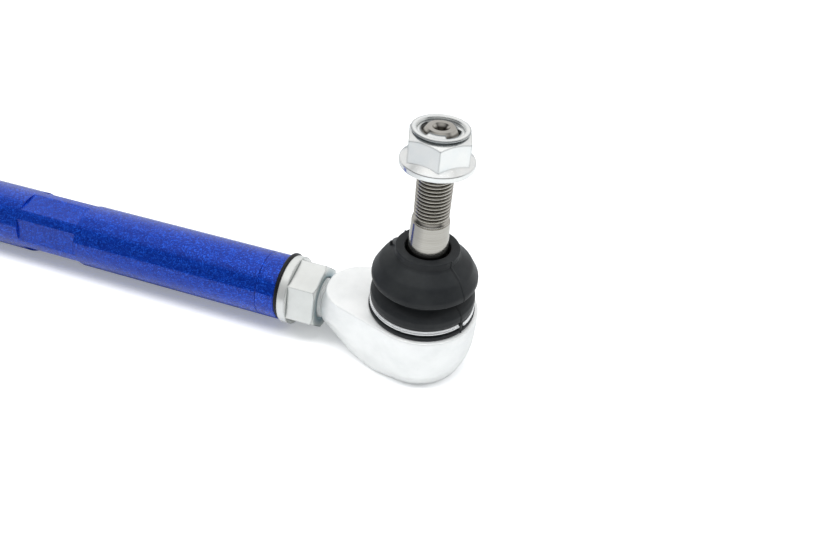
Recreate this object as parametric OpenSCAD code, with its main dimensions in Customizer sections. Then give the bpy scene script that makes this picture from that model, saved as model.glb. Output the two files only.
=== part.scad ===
// Adjustable turnbuckle link: a tube with a ball joint screwed into each end.
// X runs along the tube, Z up the studs. The origin lies midway between the two studs,
// on the plane that both housings stand on.

/* [Tube] */
// Outside diameter of the tube
tube_d = 30; // [28:0.5:36]
// Wall of the tube
tube_wall = 4; // [3:0.25:4.5]
// Length of the tube over its two end collars
tube_length = 237.4; // [160:0.2:420]
// Width across the spanner flats
flat_af = 28; // [25:0.5:28]
// Length of the spanner flats
flat_length = 32; // [16:1:60]
// Turn of the spanner flats about the tube
flat_turn = 43; // [0:1:59]
// Length of the threaded insert's collar
collar_length = 9; // [5:0.5:14]
// Length of the threaded insert's spigot, inside the tube
spigot_length = 28; // [20:1:45]
// Chamfer on both sides of the insert's seam
seam_chamfer = 0.35; // [0.1:0.05:0.8]

/* [Thread and jam nut] */
// Nominal diameter of the housing's threaded shank
shank_d = 18; // [14:0.5:19]
// Length of the threaded shank
shank_length = 55; // [40:1:70]
// Length of thread that shows between the jam nut and the arm
thread_shown = 3.9; // [2.6:0.1:20]
// Thickness of the rubber seal ring
seal_thickness = 1.8; // [1:0.1:4]
// Outside diameter of the squeezed seal ring
seal_d = 32.2; // [28:0.1:38]
// Diameter of the jam nut's flange
jam_flange_d = 31; // [29:0.5:36]
// Thickness of the jam nut's flange
jam_flange_h = 4; // [2:0.25:6]
// Width across the jam nut's flats
jam_af = 27; // [24:0.5:28]
// Height of the jam nut's hexagon
jam_hex_h = 12.7; // [8:0.1:18]
// Turn of the jam nut about the tube
jam_turn = 14.7; // [0:0.1:59]

/* [Housing] */
// Height of the tube's axis above the housing's base
axis_height = 18; // [17.5:0.1:22]
// Height of the housing's flat top above the tube's axis
face_height = 11.2; // [10:0.1:16]
// Diameter of the housing's head
head_d = 49; // [44:0.5:56]
// Diameter of the head at its base
base_d = 40.6; // [38:0.2:43]
// Height of the head's tapered foot
foot_height = 12.5; // [8:0.5:14]
// Distance from the stud's axis to the end of the arm
arm_reach = 40.9; // [36:0.1:60]
// Width of the arm's end at the top
arm_end_w = 21.2; // [20:0.2:26]
// Width of the arm's end at the bottom
arm_end_foot_w = 17.2; // [15:0.2:19]
// Depth of the arm's end below the tube's axis
arm_end_drop = 10.2; // [10:0.1:14]
// Corner radius of the arm's end
arm_corner_r = 4; // [2:0.5:5]
// Diameter of the collar that the boot grips
boot_collar_d = 38; // [36:0.5:40]
// Height of that collar above the flat top
boot_collar_h = 5; // [4.6:0.1:6]
// Thickness of the crimped edge under the cover plate
crimp_h = 1.1; // [0.8:0.1:1.5]
// Width of the crimped edge
crimp_w = 2; // [1:0.25:3]
// Thickness of the cover plate
plate_h = 2; // [1.5:0.1:2.2]

/* [Ball stud] */
// Diameter of the ball
ball_d = 27; // [25:0.25:28]
// Wall of the bearing cup around the ball's middle
cup_wall = 2.5; // [2:0.1:4]
// Angle between the stud's axis and the cup's mouth
mouth_angle = 56.3; // [54:0.1:60]
// Largest swing of the stud to each side
swing = 20; // [5:1:22]
// Diameter of the stud's neck above the ball
neck_d = 14; // [11:0.5:14]
// Diameter of the stud where the boot's mouth sits
seat_d = 17.8; // [17:0.2:19]
// Length of the boot's seat on the stud
seat_length = 9.6; // [7:0.2:11]
// Large diameter of the stud's taper
taper_d = 16.7; // [15:0.1:16.8]
// Length of the stud's taper
taper_length = 16.4; // [8:0.2:20]
// Diameter that the taper loses for each millimetre of its length
taper_rate = 0.1; // [0.05:0.01:0.12]
// Nominal diameter of the stud's thread
stud_thread_d = 14; // [12:0.5:14]
// Length of the stud's thread
stud_thread_length = 36.8; // [34:0.2:60]
// Length of the relief between taper and thread
relief_length = 1.5; // [1:0.1:3]

/* [Boot] */
// Height of the boot's mouth above the flat top
boot_h = 31.4; // [28:0.2:36]
// Diameter of the boot's lower band
boot_base_d = 45.6; // [44.6:0.2:48]
// Diameter of the boot's rolled lip
boot_lip_d = 44.2; // [40:0.2:48]
// Diameter of the boot's mouth
boot_mouth_d = 26.2; // [25:0.2:30]
// Wall of the boot
boot_wall = 1.9; // [1.2:0.1:2.2]
// Diameter of the boot clip's wire
clip_wire_d = 1.2; // [0.8:0.1:1.4]
// Height of the neck ring moulded into the boot's mouth
neck_ring_h = 2; // [1:0.1:2.6]
// Radial width of the neck ring
neck_ring_w = 1.6; // [1:0.1:2.2]

/* [Lock nut] */
// Height of the lock nut above the start of the stud's thread
nut_lift = 21.9; // [5:0.1:22.6]
// Height of the lock nut
nut_h = 14.4; // [13:0.1:16]
// Diameter of the lock nut's flange
nut_flange_d = 28; // [26:0.5:32]
// Width across the lock nut's flats
nut_af = 22; // [19:0.5:22]
// Turn of the lock nut about the stud
nut_turn = 45.4; // [0:0.1:59]
// Outside diameter of the lock nut's rolled collar
nut_collar_d = 21.4; // [20:0.2:22]
// Height of the lock nut's rolled collar
nut_collar_h = 1.6; // [1.2:0.1:3]
// Height of the locking ring inside the collar
lock_ring_h = 1.9; // [1.2:0.1:2]
// Outside diameter of the locking ring
lock_ring_d = 18; // [17:0.2:18.4]

/* [Hidden] */

// Clearances: running fits between turning pieces, slip fits between fixed ones,
// and the gap that rubber keeps from its neighbours.
run_gap = 0.05;
slip_gap = 0.02;
soft_gap = 0.3;
// Room left around the stud in the housing's mouth at full swing.
mouth_gap = 0.5;
cut = 1;
thin = 0.1;
$fn = 96;
hull_fn = 32;

// Along the tube, measured from the end of the tube.
jam_h = jam_flange_h + jam_hex_h;
tube_end_to_stud = seal_thickness + jam_h + thread_shown + arm_reach;
stud_x = tube_length / 2 + tube_end_to_stud;
insert_length = collar_length + spigot_length;
spigot_d = tube_d - 2 * tube_wall - 2 * slip_gap;

// Heights inside the housing, measured from the ball's centre on the tube's axis.
ball_r = ball_d / 2;
cup_r = ball_r + run_gap + cup_wall;
cup_top = ball_r * cos(mouth_angle);
cup_foot_room = 1.1;
cup_foot = -(ball_r - cup_foot_room);
bore_r = cup_r + run_gap;
crimp_z = -axis_height + crimp_h;
plate_top = crimp_z + plate_h;
collar_top = face_height + boot_collar_h;
mouth_r = neck_d / 2 / cos(swing) + collar_top * tan(swing) + mouth_gap;
throat_r = ball_r * sin(mouth_angle) + soft_gap;
washer_t = 1;
washer_hole_r = ball_r * 0.6;

// Heights up the stud, measured from the ball's centre.
boot_top = face_height + boot_h;
mouth_rim = 3;
seat_top = boot_top - mouth_rim;
seat_bottom = seat_top - seat_length;
neck_top = collar_top + neck_d / 2 * sin(swing) + 4;
taper_top = seat_top + taper_length;
taper_small_d = taper_d - taper_rate * taper_length;
thread_start = taper_top + relief_length;
thread_end = thread_start + stud_thread_length;
thread_chamfer = 2;
thread_depth = 0.9;
centre_hole_r = 2.6;
nut_base = thread_start + nut_lift;

// The boot's profile, as heights above the flat top.
band_h = 1.4;
clip_bottom = band_h + soft_gap;
clip_pitch = clip_wire_d * 0.85;
boot_hole_r = boot_collar_d / 2 + 0.5 + soft_gap;
groove_wall = 1.5;
groove_r = boot_hole_r + groove_wall;
groove_top = clip_bottom + clip_wire_d + clip_pitch + soft_gap;
clip_r = groove_r + soft_gap + clip_wire_d / 2;
bulge_r = boot_hole_r + boot_wall + 0.6;
crease_h = boot_h * 0.4;
crease_depth = 4.4;
crease_r = boot_lip_d / 2 - crease_depth;
lip_h = boot_h * 0.56;
shoulder_h = boot_h * 0.75;
shoulder_r = (boot_lip_d / 2 + boot_mouth_d / 2) / 2 + 1.6;
mouth_foot_h = boot_h - 3.6;
boot_mouth_hole_r = seat_d / 2 + soft_gap;
neck_ring_r = seat_d / 2 + soft_gap + 0.1;
neck_ring_lift = 0.7;

// The lock nut's stages, as heights above its underside.
flange_edge_h = 2.6;
flange_top_h = 3.9;
hex_chamfer = 1.8;
collar_lip_h = 0.9;
lock_ring_lift = nut_h - collar_lip_h - lock_ring_h;

module on_tube(x = 0) {
    translate([x, 0, axis_height]) rotate([90, 0, 90]) children();
}

module at_end(side) {
    rotate([0, 0, side > 0 ? 0 : 180]) translate([stud_x, 0, axis_height]) children();
}

// A ring about the local Z axis.
module ring(r, hole_r, h) {
    difference() {
        cylinder(r = r, h = h);
        translate([0, 0, -cut]) cylinder(r = hole_r, h = h + 2 * cut);
    }
}

// Hexagon bar whose corners are turned to round at both ends or at the top only.
module chamfered_hex(af, h, chamfer, both) {
    corner_r = af / 2 / cos(30);
    low_r = both ? corner_r - chamfer : corner_r;
    low_h = both ? chamfer * tan(30) : 0;
    intersection() {
        cylinder(r = corner_r, h = h, $fn = 6);
        rotate_extrude() polygon([
            [0, 0], [low_r, 0], [corner_r, low_h],
            [corner_r, h - chamfer * tan(30)], [corner_r - chamfer, h], [0, h]
        ]);
    }
}

module tube() {
    body_length = tube_length - 2 * collar_length;
    color([0.08, 0.16, 0.62]) on_tube(-body_length / 2) difference() {
        rotate_extrude() polygon([
            [tube_d / 2 - tube_wall, 0], [tube_d / 2 - seam_chamfer, 0],
            [tube_d / 2, seam_chamfer], [tube_d / 2, body_length - seam_chamfer],
            [tube_d / 2 - seam_chamfer, body_length], [tube_d / 2 - tube_wall, body_length]
        ]);
        for (i = [0 : 5])
            rotate([0, 0, flat_turn + 60 * i])
                translate([flat_af / 2, -tube_d / 2, (body_length - flat_length) / 2])
                    cube([tube_d, tube_d, flat_length]);
    }
}

module tube_insert(side) {
    color([0.08, 0.16, 0.62]) rotate([0, 0, side > 0 ? 0 : 180])
        on_tube(tube_length / 2 - insert_length) rotate_extrude() polygon([
            [shank_d / 2 + run_gap, 0], [spigot_d / 2, 0],
            [spigot_d / 2, spigot_length], [tube_d / 2 - seam_chamfer, spigot_length],
            [tube_d / 2, spigot_length + seam_chamfer],
            [tube_d / 2, insert_length - seam_chamfer],
            [tube_d / 2 - seam_chamfer, insert_length], [shank_d / 2 + run_gap, insert_length]
        ]);
}

module seal_ring(side) {
    bulge = seal_thickness / 2;
    color([0.12, 0.12, 0.13]) rotate([0, 0, side > 0 ? 0 : 180])
        on_tube(tube_length / 2) rotate_extrude() {
            translate([shank_d / 2 + soft_gap, 0])
                square([(seal_d - shank_d) / 2 - soft_gap - bulge, seal_thickness]);
            translate([seal_d / 2 - bulge, bulge]) circle(r = bulge);
        }
}

module jam_nut(side) {
    color([0.82, 0.84, 0.83]) rotate([0, 0, side > 0 ? 0 : 180])
        on_tube(tube_length / 2 + seal_thickness) difference() {
            union() {
                rotate_extrude() polygon([
                    [0, 0], [jam_flange_d / 2 - 0.4, 0], [jam_flange_d / 2, 0.4],
                    [jam_flange_d / 2, jam_flange_h - 1],
                    [jam_flange_d / 2 - 1, jam_flange_h], [0, jam_flange_h]
                ]);
                rotate([0, 0, jam_turn]) chamfered_hex(jam_af, jam_h, 1.6, false);
            }
            translate([0, 0, -cut])
                cylinder(r = shank_d / 2 + run_gap, h = jam_h + 2 * cut);
            translate([0, 0, jam_h - 1])
                cylinder(r1 = shank_d / 2 + run_gap, r2 = shank_d / 2 + 1.2, h = 1 + thin);
        }
}

// A thin slab with the arm's outline, at one height.
module arm_slab(z, root_r, end_w) {
    translate([0, 0, z]) {
        cylinder(r = root_r, h = thin, $fn = 2 * hull_fn);
        for (y = [-1, 1])
            translate([arm_corner_r - arm_reach, y * (end_w / 2 - arm_corner_r), 0])
                cylinder(r = arm_corner_r, h = thin, $fn = hull_fn);
    }
}

// The forged arm: a flat top, drafted sides and an underside that climbs to the shank.
module arm() {
    sink = 0.15;
    hull() {
        arm_slab(face_height - thin, head_d / 2 - sink, arm_end_w);
        arm_slab(foot_height - axis_height, head_d / 2 - sink,
                 (arm_end_w + arm_end_foot_w) / 2);
        translate([0, 0, sink - axis_height])
            cylinder(r = base_d / 2 - 1, h = thin, $fn = 2 * hull_fn);
        for (y = [-1, 1])
            translate([arm_corner_r - arm_reach,
                       y * (arm_end_foot_w / 2 - arm_corner_r), -arm_end_drop])
                cylinder(r = arm_corner_r - 1, h = thin, $fn = hull_fn);
        for (y = [-1, 1])
            translate([arm_corner_r - arm_reach,
                       y * (arm_end_foot_w / 2 - arm_corner_r), 2 - arm_end_drop])
                cylinder(r = arm_corner_r, h = thin, $fn = hull_fn);
    }
}

module head() {
    edge = 1.2;
    rotate_extrude() polygon([
        [0, -axis_height], [base_d / 2 - edge, -axis_height],
        [base_d / 2, edge - axis_height], [head_d / 2, foot_height - axis_height],
        [head_d / 2, face_height - 0.5], [head_d / 2 - 0.5, face_height],
        [boot_collar_d / 2, face_height], [boot_collar_d / 2, collar_top - 1.6],
        [boot_collar_d / 2 + 0.5, collar_top - 1], [boot_collar_d / 2 + 0.5, collar_top - 0.5],
        [boot_collar_d / 2, collar_top], [0, collar_top]
    ]);
}

module socket() {
    rotate_extrude() polygon([
        [0, -axis_height - cut], [bore_r - crimp_w, -axis_height - cut],
        [bore_r - crimp_w, crimp_z], [bore_r, crimp_z],
        [bore_r, cup_top + run_gap], [throat_r, cup_top + run_gap],
        [mouth_r, collar_top], [mouth_r, collar_top + cut], [0, collar_top + cut]
    ]);
}

module housing(side) {
    shank_chamfer = 1.5;
    color([0.86, 0.87, 0.86]) at_end(side) difference() {
        union() {
            head();
            arm();
            translate([-arm_reach, 0, 0]) rotate([0, -90, 0]) {
                translate([0, 0, -arm_corner_r])
                    cylinder(r = shank_d / 2, h = shank_length + arm_corner_r - shank_chamfer);
                translate([0, 0, shank_length - shank_chamfer])
                    cylinder(r1 = shank_d / 2, r2 = shank_d / 2 - shank_chamfer,
                             h = shank_chamfer);
            }
        }
        socket();
    }
}

module cover_plate(side) {
    dish = 0.6;
    color([0.75, 0.76, 0.76]) at_end(side) translate([0, 0, crimp_z])
        difference() {
            cylinder(r = bore_r - slip_gap, h = plate_h);
            translate([0, 0, -cut]) cylinder(r = bore_r * 0.55, h = cut + dish);
        }
}

module spring_washer(side) {
    color([0.45, 0.46, 0.48]) at_end(side) rotate_extrude() polygon([
        [bore_r - soft_gap, plate_top], [bore_r - soft_gap, plate_top + washer_t],
        [washer_hole_r, cup_foot], [washer_hole_r, cup_foot - washer_t]
    ]);
}

module bearing_cup(side) {
    color([0.93, 0.92, 0.86]) at_end(side) difference() {
        translate([0, 0, cup_foot + run_gap])
            cylinder(r = cup_r, h = cup_top - cup_foot - run_gap);
        sphere(r = ball_r + run_gap);
    }
}

module ball_stud(side) {
    color([0.66, 0.65, 0.62]) at_end(side) {
        difference() {
            union() {
                sphere(r = ball_r);
                rotate_extrude() polygon([
                    [0, 0], [neck_d / 2, 0], [neck_d / 2, neck_top],
                    [seat_d / 2, seat_bottom], [seat_d / 2, seat_top],
                    [taper_d / 2, seat_top], [taper_small_d / 2, taper_top],
                    [stud_thread_d / 2 - thread_depth, taper_top + 0.4],
                    [stud_thread_d / 2 - thread_depth, thread_start - 0.4],
                    [stud_thread_d / 2, thread_start],
                    [stud_thread_d / 2, thread_end - thread_chamfer],
                    [stud_thread_d / 2 - thread_chamfer, thread_end], [0, thread_end]
                ]);
            }
            translate([0, 0, thread_end - 4])
                cylinder(r1 = 0.2, r2 = centre_hole_r, h = 4 + thin);
        }
    }
}

module boot(side) {
    lip_r = boot_lip_d / 2;
    ring_pocket_r = neck_ring_r + neck_ring_w + soft_gap;
    ring_pocket_top = boot_h - neck_ring_lift + soft_gap;
    ring_pocket_foot = ring_pocket_top - neck_ring_h - 2 * soft_gap;
    color([0.16, 0.17, 0.18]) at_end(side) translate([0, 0, face_height])
        rotate_extrude() polygon([
            [boot_base_d / 2, soft_gap], [boot_base_d / 2, band_h],
            [groove_r, band_h], [groove_r, groove_top], [bulge_r - 0.6, groove_top],
            [bulge_r, groove_top + 0.9], [bulge_r, crease_h - 3.6],
            [bulge_r - 0.8, crease_h - 2.2], [crease_r, crease_h],
            [crease_r + 0.2, crease_h + 0.9], [lip_r - 0.6, lip_h - 1.1],
            [lip_r, lip_h - 0.5], [lip_r, lip_h + 0.6], [lip_r - 0.9, lip_h + 3.2],
            [shoulder_r, shoulder_h], [boot_mouth_d / 2 + 1, mouth_foot_h],
            [boot_mouth_d / 2, mouth_foot_h + 0.6], [boot_mouth_d / 2, boot_h],
            [boot_mouth_hole_r, boot_h], [boot_mouth_hole_r, ring_pocket_top],
            [ring_pocket_r, ring_pocket_top], [ring_pocket_r, ring_pocket_foot],
            [boot_mouth_hole_r, ring_pocket_foot],
            [boot_mouth_hole_r, mouth_foot_h - boot_wall],
            [shoulder_r - boot_wall, shoulder_h - boot_wall],
            [lip_r - 1 - boot_wall, lip_h + 2], [lip_r - 0.6 - boot_wall, lip_h],
            [crease_r - boot_wall, crease_h + 1.2], [crease_r - boot_wall, crease_h - 0.6],
            [bulge_r - boot_wall - 0.6, crease_h - 3], [bulge_r - boot_wall, crease_h - 4],
            [bulge_r - boot_wall, groove_top + 2], [boot_hole_r, groove_top + 1.2],
            [boot_hole_r, soft_gap]
        ]);
}

module boot_clip(side) {
    color([0.8, 0.81, 0.82]) at_end(side)
        translate([0, 0, face_height + clip_bottom + clip_wire_d / 2])
            rotate_extrude() for (i = [0, 1])
                translate([clip_r, i * clip_pitch]) circle(r = clip_wire_d / 2, $fn = 32);
}

module boot_neck_ring(side) {
    color([0.5, 0.51, 0.53]) at_end(side)
        translate([0, 0, boot_top - neck_ring_lift - neck_ring_h])
            ring(neck_ring_r + neck_ring_w, neck_ring_r, neck_ring_h);
}

module lock_nut(side) {
    wall_top = nut_h - nut_collar_h;
    bore = stud_thread_d / 2 + slip_gap;
    color([0.62, 0.63, 0.64]) at_end(side) translate([0, 0, nut_base]) difference() {
        union() {
            rotate_extrude() polygon([
                [0, 0], [nut_flange_d / 2 - 1, 0], [nut_flange_d / 2, 1.2],
                [nut_flange_d / 2, flange_edge_h], [nut_af / 2, flange_top_h + 0.5],
                [0, flange_top_h + 0.5]
            ]);
            rotate([0, 0, nut_turn]) chamfered_hex(nut_af, nut_h - nut_collar_h, hex_chamfer, false);
            rotate_extrude() polygon([
                [0, wall_top - thin], [nut_collar_d / 2, wall_top - thin],
                [nut_collar_d / 2, nut_h - 0.8], [nut_collar_d / 2 - 0.8, nut_h], [0, nut_h]
            ]);
        }
        translate([0, 0, -cut]) cylinder(r = bore, h = nut_h + 2 * cut);
        translate([0, 0, lock_ring_lift])
            cylinder(r = lock_ring_d / 2 + slip_gap, h = lock_ring_h + slip_gap);
        translate([0, 0, lock_ring_lift + lock_ring_h])
            cylinder(r = lock_ring_d / 2 - 0.4, h = nut_h);
    }
}

module lock_ring(side) {
    color([0.35, 0.36, 0.38]) at_end(side) translate([0, 0, nut_base + lock_ring_lift])
        ring(lock_ring_d / 2, stud_thread_d / 2 + slip_gap, lock_ring_h);
}

tube();
tube_insert(1);  // tube_insert_right
tube_insert(-1);  // tube_insert_left
seal_ring(1);  // seal_ring_right
seal_ring(-1);  // seal_ring_left
jam_nut(1);  // jam_nut_right
jam_nut(-1);  // jam_nut_left
housing(1);  // housing_right
housing(-1);  // housing_left
cover_plate(1);  // cover_plate_right
cover_plate(-1);  // cover_plate_left
spring_washer(1);  // spring_washer_right
spring_washer(-1);  // spring_washer_left
bearing_cup(1);  // bearing_cup_right
bearing_cup(-1);  // bearing_cup_left
ball_stud(1);  // ball_stud_right
ball_stud(-1);  // ball_stud_left
boot(1);  // boot_right
boot(-1);  // boot_left
boot_clip(1);  // boot_clip_right
boot_clip(-1);  // boot_clip_left
boot_neck_ring(1);  // boot_neck_ring_right
boot_neck_ring(-1);  // boot_neck_ring_left
lock_nut(1);  // lock_nut_right
lock_nut(-1);  // lock_nut_left
lock_ring(1);  // lock_ring_right
lock_ring(-1);  // lock_ring_left
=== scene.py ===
import math
import bmesh
import bpy
from mathutils import Matrix, Vector


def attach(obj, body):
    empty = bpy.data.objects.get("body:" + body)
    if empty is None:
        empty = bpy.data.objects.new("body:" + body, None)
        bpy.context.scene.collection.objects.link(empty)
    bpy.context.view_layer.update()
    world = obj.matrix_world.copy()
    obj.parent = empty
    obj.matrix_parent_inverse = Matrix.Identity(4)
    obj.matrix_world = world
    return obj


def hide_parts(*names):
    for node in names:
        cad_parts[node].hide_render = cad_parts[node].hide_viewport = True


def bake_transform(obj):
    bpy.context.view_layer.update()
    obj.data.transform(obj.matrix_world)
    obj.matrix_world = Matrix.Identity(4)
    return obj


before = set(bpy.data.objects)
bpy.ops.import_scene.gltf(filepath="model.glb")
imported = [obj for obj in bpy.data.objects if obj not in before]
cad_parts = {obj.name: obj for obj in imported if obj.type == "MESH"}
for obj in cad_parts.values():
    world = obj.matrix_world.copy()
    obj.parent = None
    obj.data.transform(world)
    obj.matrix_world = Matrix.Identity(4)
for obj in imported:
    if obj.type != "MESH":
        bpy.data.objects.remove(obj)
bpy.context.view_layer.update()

# Sizes in the dictionaries are in millimetres, but in view and studio they are in metres.
# The right end's pieces are modelled from the ball's centre or the housing's top face, with
# the tube towards -X, or along the tube, then put in place and copied to the left end.
mm = 0.001
ends = ("right", "left")
link = {"studX": 182.0, "axisHeight": 18.0, "tubeEnd": 118.7, "face": 11.2}


view = {"place": (0.224244, -0.197459, 0.210976), "turn": (50.6859, -3.9563, 17.3536),
        "lens": 27.893, "sensor": 36, "near": 0.005}

def addCamera():
    bpy.ops.object.camera_add(location=view["place"],
                              rotation=[math.radians(a) for a in view["turn"]])
    camera = bpy.context.object
    camera.data.sensor_width = view["sensor"]
    camera.data.lens = view["lens"]
    camera.data.clip_start = view["near"]
    bpy.context.scene.camera = camera

addCamera()
print("camera placed")


def nothingSelected():
    if bpy.context.mode != "OBJECT":
        bpy.ops.object.mode_set(mode="OBJECT")
    bpy.ops.object.select_all(action="DESELECT")

def pick(piece):
    nothingSelected()
    piece.select_set(True)
    bpy.context.view_layer.objects.active = piece

def edit(piece):
    pick(piece)
    bpy.ops.object.mode_set(mode="EDIT")
    bpy.ops.mesh.select_mode(type="VERT")

def selectVerts(piece, wanted):
    grid = bmesh.from_edit_mesh(piece.data)
    for f in grid.faces:
        f.select = False
    for e in grid.edges:
        e.select = False
    for v in grid.verts:
        v.select = wanted(v)
    grid.select_flush(True)
    bmesh.update_edit_mesh(piece.data)

def settle(piece):  # the piece's place goes into its mesh
    pick(piece)
    bpy.ops.object.transform_apply(location=True, rotation=True, scale=True)

def outward(piece, weld=0.0005):  # welds what lies within the given millimetres
    edit(piece)
    bpy.ops.mesh.select_all(action="SELECT")
    bpy.ops.mesh.remove_doubles(threshold=weld * mm)
    bpy.ops.mesh.normals_make_consistent(inside=False)
    bpy.ops.object.mode_set(mode="OBJECT")

def smooth(piece, angle=30):
    pick(piece)
    bpy.ops.object.shade_smooth_by_angle(angle=math.radians(angle))

def applyLast(piece):
    pick(piece)
    bpy.ops.object.modifier_apply(modifier=piece.modifiers[-1].name)

def combine(piece, tool, how):
    pick(piece)
    bpy.ops.object.modifier_add(type="BOOLEAN")
    join = piece.modifiers[-1]
    join.operation = how
    join.solver = "EXACT"
    join.object = tool
    bpy.ops.object.modifier_apply(modifier=join.name)
    bpy.data.objects.remove(tool)

def breakEdges(piece, width, angle=30, steps=2, shade=40):  # a small bevel, shaded smooth
    pick(piece)
    bpy.ops.object.modifier_add(type="BEVEL")
    bevel = piece.modifiers[-1]
    bevel.width = width * mm
    bevel.segments = steps
    bevel.limit_method = "ANGLE"
    bevel.angle_limit = math.radians(angle)
    bevel.miter_outer = "MITER_ARC"
    applyLast(piece)
    smooth(piece, shade)
    bpy.ops.object.modifier_add(type="WEIGHTED_NORMAL")
    piece.modifiers[-1].keep_sharp = True
    applyLast(piece)

# Rounds the corners of an outline. Each point is (radius, height) or (radius, height, fillet).
def rounded(outline, steps=4, closed=True):
    points = []
    last = len(outline) - 1
    for i, corner in enumerate(outline):
        here = Vector(corner[:2])
        fillet = corner[2] if len(corner) > 2 else 0
        if not fillet or (not closed and i in (0, last)):
            points.append(tuple(here))
            continue
        toPrev = Vector(outline[i - 1][:2]) - here
        toNext = Vector(outline[(i + 1) % len(outline)][:2]) - here
        half = toPrev.angle(toNext) / 2
        reach = min(fillet / math.tan(half), 0.48 * toPrev.length, 0.48 * toNext.length)
        radius = reach * math.tan(half)
        toPrev.normalize()
        toNext.normalize()
        middle = here + (toPrev + toNext).normalized() * (radius / math.sin(half))
        first, final = here + toPrev * reach - middle, here + toNext * reach - middle
        sweep = first.angle(final)
        for k in range(steps + 1):
            t = k / steps
            arm = (first * math.sin((1 - t) * sweep) +
                   final * math.sin(t * sweep)) / math.sin(sweep)
            points.append(tuple(middle + arm))
    return points

# Turns an outline about Z by extruding and sizing a ring. An outline that starts and ends
# on the axis makes a solid, any other one is closed to a ring.
def turned(name, outline, sides=96):
    solid = outline[0][0] == 0
    rings = outline[1:-1] if solid else outline + outline[:1]
    nothingSelected()
    bpy.ops.mesh.primitive_circle_add(vertices=sides, radius=rings[0][0] * mm,
                                      location=(0, 0, rings[0][1] * mm))
    piece = bpy.context.object
    piece.name = piece.data.name = name
    edit(piece)
    bpy.ops.mesh.select_all(action="SELECT")
    for (r0, z0), (r1, z1) in zip(rings, rings[1:]):
        bpy.ops.mesh.extrude_edges_move(TRANSFORM_OT_translate={"value": (0, 0, (z1 - z0) * mm)})
        bpy.ops.transform.resize(value=(r1 / r0, r1 / r0, 1), center_override=(0, 0, z1 * mm))
    if solid:
        closings = ((rings[-1][1], outline[-1][1]), (rings[0][1], outline[0][1]))
        for i, (rim, pole) in enumerate(closings):
            if i:
                selectVerts(piece, lambda v: v.is_boundary)
            bpy.ops.mesh.extrude_edges_move(
                TRANSFORM_OT_translate={"value": (0, 0, (pole - rim) * mm)})
            bpy.ops.mesh.merge(type="CENTER")
    settle(piece)
    outward(piece)
    return piece

# A rod with a real thread, from the root and crest of one pitch wound up by Screw.
def threadedRod(name, rod, start, length):
    pitch, crest = rod["pitch"], rod["nominal"] / 2
    root = crest - rod["depth"]
    steps = ((0, 0.22), (crest - root, 0.29), (0, 0.16), (root - crest, 0.33))  # out, up
    nothingSelected()
    bpy.ops.mesh.primitive_plane_add(size=mm)
    piece = bpy.context.object
    piece.name = piece.data.name = name
    edit(piece)
    bpy.ops.mesh.select_all(action="SELECT")
    bpy.ops.mesh.merge(type="CENTER")
    bpy.ops.transform.translate(value=(root * mm, 0, start * mm))
    for out, up in steps:
        bpy.ops.mesh.extrude_vertices_move(
            TRANSFORM_OT_translate={"value": (out * mm, 0, up * pitch * mm)})
    bpy.ops.object.mode_set(mode="OBJECT")
    bpy.ops.object.modifier_add(type="SCREW")
    wind = piece.modifiers[-1]
    wind.axis = "Z"
    wind.angle = math.radians(360)
    wind.screw_offset = pitch * mm
    wind.iterations = math.ceil(length / pitch) + 1
    wind.steps = wind.render_steps = rod["sides"]
    wind.use_merge_vertices = False
    applyLast(piece)
    edit(piece)
    bpy.ops.mesh.select_all(action="SELECT")
    bpy.ops.mesh.remove_doubles(threshold=0.002 * mm)
    middle = (start + length / 2) * mm
    for side in (-1, 1):
        selectVerts(piece, lambda v: v.is_boundary and (v.co.z - middle) * side > 0)
        bpy.ops.mesh.extrude_edges_move(TRANSFORM_OT_translate={"value": (0, 0, 0)})
        bpy.ops.mesh.merge(type="CENTER")
    outward(piece)
    return piece

def hexPrism(name, across, low, high, turn):
    nothingSelected()
    bpy.ops.mesh.primitive_cylinder_add(
        vertices=6, radius=across / 2 / math.cos(math.radians(30)) * mm, depth=(high - low) * mm,
        location=(0, 0, (low + high) / 2 * mm), rotation=(0, 0, math.radians(turn - 90)))
    piece = bpy.context.object
    piece.name = piece.data.name = name
    settle(piece)
    return piece

def atEnd(piece):  # from the ball's centre to the right end's place
    piece.location = (link["studX"] * mm, 0, link["axisHeight"] * mm)
    settle(piece)

def onFace(piece):  # from the middle of the housing's top face
    piece.location = (link["studX"] * mm, 0, (link["axisHeight"] + link["face"]) * mm)
    settle(piece)

def onTube(piece, x):  # Z goes along the tube
    piece.matrix_world = Matrix(((0, 0, 1, x * mm), (1, 0, 0, 0),
                                 (0, 1, 0, link["axisHeight"] * mm), (0, 0, 0, 1)))
    settle(piece)

def otherEnd(piece, mirrored=False):
    pick(piece)
    bpy.ops.object.duplicate()
    twin = bpy.context.object
    twin.name = twin.data.name = piece.name.replace("right", "left")
    if mirrored:  # keeps a left-hand thread on the left end
        twin.scale.x = -1
        settle(twin)
        outward(twin)
    else:
        twin.rotation_euler.z = math.pi
        settle(twin)
    return twin

def dress(piece, finish, body, nodes):
    piece.data.materials.clear()
    piece.data.materials.append(finish)
    if body:
        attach(piece, body)
    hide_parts(*nodes)


# Every finish reads Object coordinates, in metres.
def startFinish(name):
    finish = bpy.data.materials.new(name)
    finish.use_nodes = True
    nodes, links = finish.node_tree.nodes, finish.node_tree.links
    place = nodes.new("ShaderNodeTexCoord")
    return finish, nodes, links, nodes["Principled BSDF"], place.outputs["Object"]

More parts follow.
